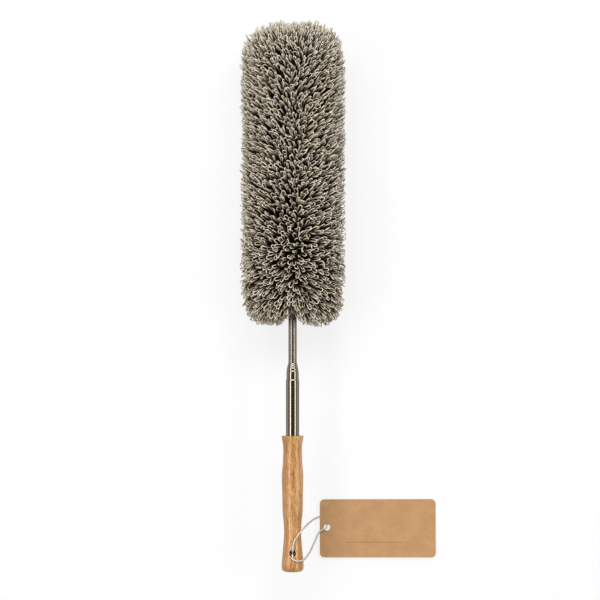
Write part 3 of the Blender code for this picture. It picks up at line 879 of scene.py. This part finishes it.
def spun(radius, turn, along):
    """Directions in space, from a part off the pole's axis, a turn round it and a part along."""
    return np.stack([radius * np.cos(turn), along, radius * np.sin(turn)], axis=-1)


def round_pole(radius, turn, station):
    """Places in space, from a distance off the pole's axis, a turn round it and a station."""
    return spun(radius, turn, station) + (0, butt_end(), axis_height())


def unit(vectors):
    return vectors / np.maximum(np.linalg.norm(vectors, axis=-1, keepdims=True), 1e-9)


# Heights of the rings up each leg of a yarn loop, and turns of the rings round its bend
LEG_HEIGHTS = (0.0, 0.4, 0.66, 0.84, 1.0)
BEND_TURNS = np.pi * np.array((0.25, 0.5, 0.75))


def loop_rings(first_leg, bend, last_leg):
    """One number for each ring of a yarn loop, up one leg, round the bend and down the other."""
    legs = [np.broadcast_to(leg, len(LEG_HEIGHTS)) for leg in (first_leg, last_leg)]
    return np.concatenate([legs[0], bend, legs[1]])


# How far up the loop each ring is, how far to its side, and how far up in the bend
LOOP_HEIGHTS = loop_rings(LEG_HEIGHTS, np.ones(len(BEND_TURNS)), LEG_HEIGHTS[::-1])
LOOP_SIDES = loop_rings(1.0, np.cos(BEND_TURNS), -1.0)
LOOP_LIFTS = loop_rings(0.0, np.sin(BEND_TURNS), 0.0)
YARN_SIDES = 5

# The yarn's map: its rows of tones and painted shades, what a full turn round the yarn spans of a
# row, and the twist
TONE_ROWS = 32
TURN_SPAN = 0.4
PLIES = 2
TWISTS = 10


def straight_tube(rings, sides):
    """A tube one unit in radius with its rings at z = 0, 1, 2, and its map drawn round it."""
    bm = bmesh.new()
    bmesh.ops.create_circle(bm, segments=sides, radius=1)
    bmesh.ops.spin(
        bm, geom=bm.verts[:] + bm.edges[:], axis=(0, 0, 1), angle=0, steps=rings - 1, dvec=(0, 0, 1)
    )
    uv = bm.loops.layers.uv.new(BAKE_MAP)
    for face in bm.faces:
        middle = face.calc_center_median()
        middle_turn = math.atan2(middle.y, middle.x)
        for corner in face.loops:
            place = corner.vert.co
            aside = math.remainder(math.atan2(place.y, place.x) - middle_turn, FULL_TURN)
            corner[uv].uv = (place.z, ((middle_turn + aside) / FULL_TURN + 1) % 2)
    return bm


def repeated(mesh, count):
    """The mesh repeated in place, as one mesh."""
    single = linked("single", mesh)
    array = single.modifiers.new("repeats", "ARRAY")
    array.count = count
    array.use_relative_offset = False
    return taken_from(single)


def read_points(mesh):
    flat = np.empty(len(mesh.vertices) * 3)
    mesh.vertices.foreach_get("co", flat)
    return flat.reshape(-1, 3)


def arched(start, start_pull, end_pull, end, shares):
    """Bezier curves: their places at shares of their way, and which way they run there."""
    a, b, c, d = (point[:, None] for point in (start, start_pull, end_pull, end))
    t = shares[None, :, None]
    places = a * (1 - t) ** 3 + 3 * b * t * (1 - t) ** 2 + 3 * c * t**2 * (1 - t) + d * t**3
    return places, unit((b - a) * (1 - t) ** 2 + 2 * (c - b) * t * (1 - t) + (d - c) * t**2)


def bend_tubes(mesh, paths, across, radii):
    """Moves straight tubes that lie in one mesh onto their paths.

    paths holds each tube's ring places, across a direction out of each ring, and radii its
    thickness there, all by tube and ring.
    """
    straight = read_points(mesh).reshape(len(paths), -1, 3)
    rings = np.rint(straight[0, :, 2]).astype(int)
    along = unit(np.gradient(paths, axis=1))
    out = unit(across - along * np.sum(across * along, axis=-1, keepdims=True))
    over = np.cross(along, out)
    placed = paths[:, rings] + radii[:, rings, None] * (
        straight[..., :1] * out[:, rings] + straight[..., 1:2] * over[:, rings]
    )
    mesh.vertices.foreach_set("co", placed.ravel())
    mesh.update()


class DUSTER_OT_head(bpy.types.Operator):
    """Grow the yarn loops of the bristle head, band by band, and finish the core inside"""

    bl_idname = "duster.head"
    bl_label = "Bristle head"

    def execute(self, context):
        settings = context.scene.duster_head
        draws = np.random.default_rng(SEED)
        noise.seed_set(SEED)
        shares = Outline(TIP_OUTLINE).even_shares(settings.loops)
        turns = np.arange(settings.loops) * GOLDEN_TURN
        yarn = yarn_finish(settings)
        bands = np.minimum((shares * BAND_COUNT).astype(int), BAND_COUNT - 1)
        for band in range(BAND_COUNT):
            chosen = bands == band
            self.grow_band(settings, draws, yarn, band, shares[chosen], turns[chosen])
        outline = [(radius, station + butt_end()) for radius, station in backing_outline(settings)]
        backing = mesh_from(turned(outline, BACKING_SIDES, closed=False), "woven_backing")
        add_piece("woven_backing", backing, backing_finish(settings), "head", "bristle_yarn")
        nylon = nylon_finish()
        dress("head_connector", nylon)
        dress("tip_cap", nylon)
        dress("core_wire", metal_finish("annealed_wire", (0.5, 0.49, 0.48), 0.4))
        dress("foam_core", foam_finish())
        return {"FINISHED"}

    def grow_band(self, settings, draws, yarn, band, shares, turns):
        """The loops that end in one slice of the head."""
        paths, across, radii, tones_and_shades = self.laid_loops(settings, draws, shares, turns)
        single = plain_mesh(straight_tube(len(LOOP_HEIGHTS), YARN_SIDES), "yarn_loop")
        mesh = repeated(single, len(paths))
        bend_tubes(mesh, paths, across, radii)
        self.tint(mesh, tones_and_shades)
        mesh.shade_smooth()
        name = f"yarn_band_{band + 1}"
        add_piece(name, mesh, yarn, "head", "bristle_yarn", f"bristle_band_{band + 1}")

    def laid_loops(self, settings, draws, shares, turns):
        """The loops' ring places, directions across them, thicknesses, and each loop's tone with
        its painted shade.
        """
        tips, roots = Outline(TIP_OUTLINE), Outline(backing_outline(settings))
        count = len(shares)
        shares = shares + draws.uniform(-1, 1, count) * settings.straying / tips.length
        shares = np.clip(shares, 0, 1)
        radii, stations = tips.at(shares)
        rightward = np.maximum(np.cos(turns), 0)
        radii = radii * (1 + settings.fuller_right * rightward)
        over_pole = np.interp(np.abs(radii * np.cos(turns)), *OVER_POLE)
        near_foot = np.interp(stations, *NEAR_FOOT)
        lengthened = rightward * np.interp(stations, *LENGTHENED)
        stations = stations + settings.longer_right * lengthened
        stations = stations + settings.pole_gap * over_pole * near_foot
        turns = turns + draws.uniform(-1, 1, count) * settings.straying / np.maximum(radii, 0.006)
        tip = round_pole(radii, turns, stations)

        away, along = tips.heading(shares)
        outward, upward = spun(along, turns, -away), spun(away, turns, along)
        comb = self.combed(settings, draws, tip, turns, stations, upward)
        comb = unit(comb - outward * np.sum(comb * outward, axis=1, keepdims=True))
        flop = settings.flop * np.clip(along, 0, 1) * draws.normal(1, 0.35, count)
        end = np.cos(flop)[:, None] * outward + np.sin(flop)[:, None] * comb

        openness = draws.uniform(0, 1, count) ** np.interp(stations, *OPENNESS)
        width = settings.narrow_loop + (settings.wide_loop - settings.narrow_loop) * openness
        width = width - settings.yarn
        sunk = draws.beta(1.2, 2.0, count)
        shorter = settings.shortening * sunk + np.cos(flop) * width / 2 - settings.proud
        straggling = np.minimum(draws.exponential(1, count), 3) - 1
        straggling = straggling * np.interp(stations, *STRAGGLED)
        tip = tip - outward * (shorter - settings.straggling * straggling)[:, None]
        root_radii, root_stations = roots.at(np.interp(shares, *ROOT_SHARES))
        root = round_pole(root_radii, turns, root_stations)
        bow = tip - end * settings.flop_length
        middle, up = arched(root, root + (tip - root) / 3, bow, tip, LOOP_HEIGHTS)

        side = np.cross(comb, outward)[:, None]
        side = unit(side - up * np.sum(side * up, axis=-1, keepdims=True))
        twist = draws.normal(0, 0.4 + 0.5 * shares, count)[:, None, None]
        side = np.cos(twist) * side + np.sin(twist) * np.cross(up, side)
        spread = (width[:, None] / 2 * (0.45 + 0.55 * LOOP_HEIGHTS[None, :]))[..., None]
        paths = middle + spread * (side * LOOP_SIDES[:, None] + up * LOOP_LIFTS[:, None])
        thickness = settings.yarn / 2 * draws.uniform(0.85, 1.15, count)
        paths[..., 2] = np.maximum(paths[..., 2], thickness[:, None] * 1.02)
        radii = np.repeat(thickness[:, None], len(LOOP_HEIGHTS), axis=1)

        crown = np.clip((stations - CROWN_START) / CROWN_LENGTH, 0, 1)
        foot = np.interp(stations, *FOOT_SHADE)
        # Painted shade: loops that end lower in the pile get darker tones, and so do those at the
        # foot; the crown's loops get lighter tones
        tones_and_shades = draws.normal(0.75, 0.15, count) - 0.85 * sunk + 0.15 * crown - foot
        return paths, np.cross(up, side), radii, np.clip(tones_and_shades, 0, 0.999)

    def combed(self, settings, draws, tip, turns, stations, upward):
        """Which way each loop lies: from the whorl and the parting, and one way in each patch."""
        wander = [0.25 * noise.noise((0, station / 0.03, 0)) for station in stations]
        aside = np.remainder(turns - settings.parting + wander + math.pi, FULL_TURN) - math.pi
        rise = np.tanh((stations - settings.whorl) / np.where(aside > 0, 0.012, 0.050))
        sidling = 0.75 * np.tanh(aside / 0.1) * np.cos(aside / 2) ** 2
        around = spun(np.ones(len(turns)), turns + QUARTER_TURN, np.zeros(len(turns)))
        patches = np.array([noise.noise_vector(Vector(place) / settings.swirl) for place in tip])
        strays = draws.normal(0, 0.45, (len(turns), 3))
        return upward * rise[:, None] + around * sidling[:, None] + 0.7 * patches + strays

    def tint(self, mesh, tones_and_shades):
        """Sets the map's x to the height up the strand, and its y to a row for the loop's tone and
        painted shade.
        """
        heights = LOOP_HEIGHTS * 0.95 + LOOP_LIFTS * 0.05
        layer = mesh.uv_layers[BAKE_MAP].uv
        flat = np.empty(len(layer) * 2)
        layer.foreach_get("vector", flat)
        places = flat.reshape(len(tones_and_shades), -1, 2)
        places[..., 0] = np.interp(places[..., 0], np.arange(len(heights)), heights)
        rows = np.floor(tones_and_shades * TONE_ROWS)[:, None]
        places[..., 1] = (rows + 0.1 + TURN_SPAN * places[..., 1]) / TONE_ROWS
        layer.foreach_set("vector", places.ravel())


# Tag and string

def carried(points):
    """A direction out of each point of a line, carried along it without twisting."""
    along = unit(np.gradient(points, axis=0))
    out = np.cross(along[0], (1.0, 0.0, 0.0))
    outs = []
    for heading in along:
        out = unit(out - heading * np.dot(out, heading))
        outs.append(out)
    return np.array(outs), along


def twisted_cord(name, lines, settings):
    """Two-ply cords along lines, as one mesh."""
    whole = bmesh.new()
    for line in lines:
        points = even_line(np.array(line, float), settings.ring_spacing)
        outs, along = carried(points)
        bm = straight_tube(len(points), settings.string_sides)
        bmesh.ops.holes_fill(bm, edges=[edge for edge in bm.edges if edge.is_boundary])
        for vert in bm.verts:
            turn = math.atan2(vert.co.y, vert.co.x)
            ring = round(vert.co.z)
            lay = FULL_TURN * ring * settings.ring_spacing / settings.lay_length
            waist = settings.ply_waist * (1 - abs(math.cos(turn - lay)))
            radius = settings.string / 2 * (1 - waist)
            out = Vector(outs[ring])
            over = Vector(along[ring]).cross(out)
            vert.co = Vector(points[ring]) + radius * (math.cos(turn) * out + math.sin(turn) * over)
        whole.from_mesh(plain_mesh(bm, name))
    bmesh.ops.recalc_face_normals(whole, faces=whole.faces)
    return mesh_from(whole, name, math.radians(70))


def knot_lines(settings):
    """An overhand knot's two closed runs, the two strands into it and its two loose ends."""
    low, high = corners("string_knot")
    middle = (low + high) / 2
    radius = settings.string / 2
    scale = ((high.x - low.x) / 2 - radius) / 3
    turns = np.linspace(0, FULL_TURN, 61)
    out, over = np.sin(turns) + 2 * np.sin(2 * turns), np.cos(turns) - 2 * np.cos(2 * turns)
    runs = []
    for lift, start in ((radius, 0.0), (-radius, math.pi / 3)):
        run = [
            middle.x + scale * (out * math.cos(start) - over * math.sin(start)),
            middle.y + scale * (out * math.sin(start) + over * math.cos(start)),
            middle.z - scale * np.sin(3 * turns) + lift,
        ]
        runs.append(np.stack(run, axis=1))
    into = [[(x, y, z), (x, y, middle.z)] for x, y, z in (STRING_ROUTE[0], STRING_ROUTE[-1])]
    ends = [[tuple(middle + Vector(step)) for step in end] for end in LOOSE_ENDS]
    return [*runs, *into, *[smooth_line(end, settings.ring_spacing) for end in ends]]


class DUSTER_OT_tag(bpy.types.Operator):
    """Lay the cotton string with its knot, and finish the card tag"""

    bl_idname = "duster.tag"
    bl_label = "Tag and string"

    def execute(self, context):
        settings = context.scene.duster_tag
        cotton = cotton_finish(settings)
        route = smooth_line(STRING_ROUTE, settings.ring_spacing)
        lines = {"string": [route], "knot": knot_lines(settings)}
        string, knot = (
            add_piece(
                f"cotton_{name}",
                twisted_cord(name, lines[name], settings),
                cotton,
                "handle",
                "cotton_string",
                node,
            )
            for name, node in (("string", "tag_string"), ("knot", "string_knot"))
        )
        dress("hang_tag", card_finish(settings))
        return {"FINISHED"}


# Stage

def floor_finish(settings):
    """Pale floor that keeps its shadows, lit a little more where it is seen or mirrored."""
    finish = Finish("floor")
    finish.set(Base_Color=scene_linear(settings.floor), Roughness=0.9, Specular_IOR_Level=0.1)
    seen = finish.node("LightPath", output="Is Camera Ray")
    mirrored = finish.node("LightPath", output="Is Glossy Ray")
    through = finish.node("LightPath", output="Is Transmission Ray")
    glow = (seen + mirrored + through) * settings.glow
    finish.set(Emission_Color=(1, 1, 1, 1), Emission_Strength=glow)
    return finish.material


class DUSTER_OT_stage(bpy.types.Operator):
    """Lay the floor and set up the strip lamps, the sky and the camera"""

    bl_idname = "duster.stage"
    bl_label = "Stage"

    def execute(self, context):
        settings = context.scene.duster_stage
        bm = bmesh.new()
        bmesh.ops.create_grid(bm, x_segments=1, y_segments=1, size=6)
        mesh = plain_mesh(bm, "floor")
        mesh.materials.append(floor_finish(settings))
        floor = linked("floor", mesh)
        for name, lamp in LAMPS.items():
            self.hang_lamp(settings, name, *lamp)
        self.paint_sky(context, settings)
        self.place_camera(context)
        context.scene.view_settings.view_transform = "Standard"
        return {"FINISHED"}

    def hang_lamp(self, settings, name, axis, angle, size, power, along):
        """A strip lamp that is turned away from straight above the duster, about an axis."""
        lamp = bpy.data.lights.new(name, "AREA")
        lamp.shape = "RECTANGLE"
        lamp.size, lamp.size_y = size
        lamp.energy = power * settings.power
        turn = Matrix.Rotation(math.radians(angle), 4, axis)
        hung = linked(name, lamp)
        middle = Matrix.Translation((0, along, axis_height()))
        hung.matrix_world = middle @ turn @ Matrix.Translation((0, 0, LAMP_DISTANCE))
        hung.visible_camera = False

    def paint_sky(self, context, settings):
        """White where it is seen. As a light it is dim overhead and brighter all round."""
        world = bpy.data.worlds.new("sky")
        sky = Tree(world)
        rise = sky.part(sky.node("TexCoord", output="Generated"), "Z")
        level = sky.between(rise, 0.66, 0.97, settings.sides, settings.zenith)
        seen = sky.node("LightPath", output="Is Camera Ray")
        shown = sky.node("Mix", inputs={"Factor": seen, "A": level, "B": 1})
        background = sky.nodes["Background"]
        background.inputs["Color"].default_value = (1, 1, 1, 1)
        sky.feed(background.inputs["Strength"], shown)
        context.scene.world = world

    def place_camera(self, context):
        """Straight above, at the distance from which the axis is 1.024 mm a pixel."""
        distance = 2.2
        width = 0.6144
        camera = bpy.data.cameras.new("camera")
        camera.lens = camera.sensor_width * distance / width
        placed = linked("camera", camera)
        placed.location = (0.0076, -0.002, axis_height() + distance)
        context.scene.camera = placed


class DUSTER_PT_panel(bpy.types.Panel):
    """Lists the settings of the duster"""

    bl_idname = "DUSTER_PT_panel"
    bl_label = "Duster"
    bl_space_type = "VIEW_3D"
    bl_region_type = "UI"
    bl_category = "Duster"

    def draw(self, context):
        for operator in OPERATORS:
            box = self.layout.box()
            box.operator(operator.bl_idname)
            settings = getattr(context.scene, operator.bl_idname.replace(".", "_"))
            for name in settings.__annotations__:
                box.prop(settings, name)


SETTINGS = {
    "duster_pole": PoleSettings,
    "duster_handle": HandleSettings,
    "duster_head": HeadSettings,
    "duster_tag": TagSettings,
    "duster_stage": StageSettings,
}
OPERATORS = (DUSTER_OT_pole, DUSTER_OT_handle, DUSTER_OT_head, DUSTER_OT_tag, DUSTER_OT_stage)


def register():
    for group in (*SETTINGS.values(), *OPERATORS, DUSTER_PT_panel):
        bpy.utils.register_class(group)
    for name, group in SETTINGS.items():
        setattr(bpy.types.Scene, name, PointerProperty(type=group))


def unregister():
    for name in SETTINGS:
        delattr(bpy.types.Scene, name)
    for group in reversed((*SETTINGS.values(), *OPERATORS, DUSTER_PT_panel)):
        bpy.utils.unregister_class(group)


def main():
    register()
    bpy.ops.duster.stage()
    bpy.ops.duster.tag()
    bpy.ops.duster.pole()
    bpy.ops.duster.handle()
    bpy.ops.duster.head()


if __name__ == "__main__":
    main()
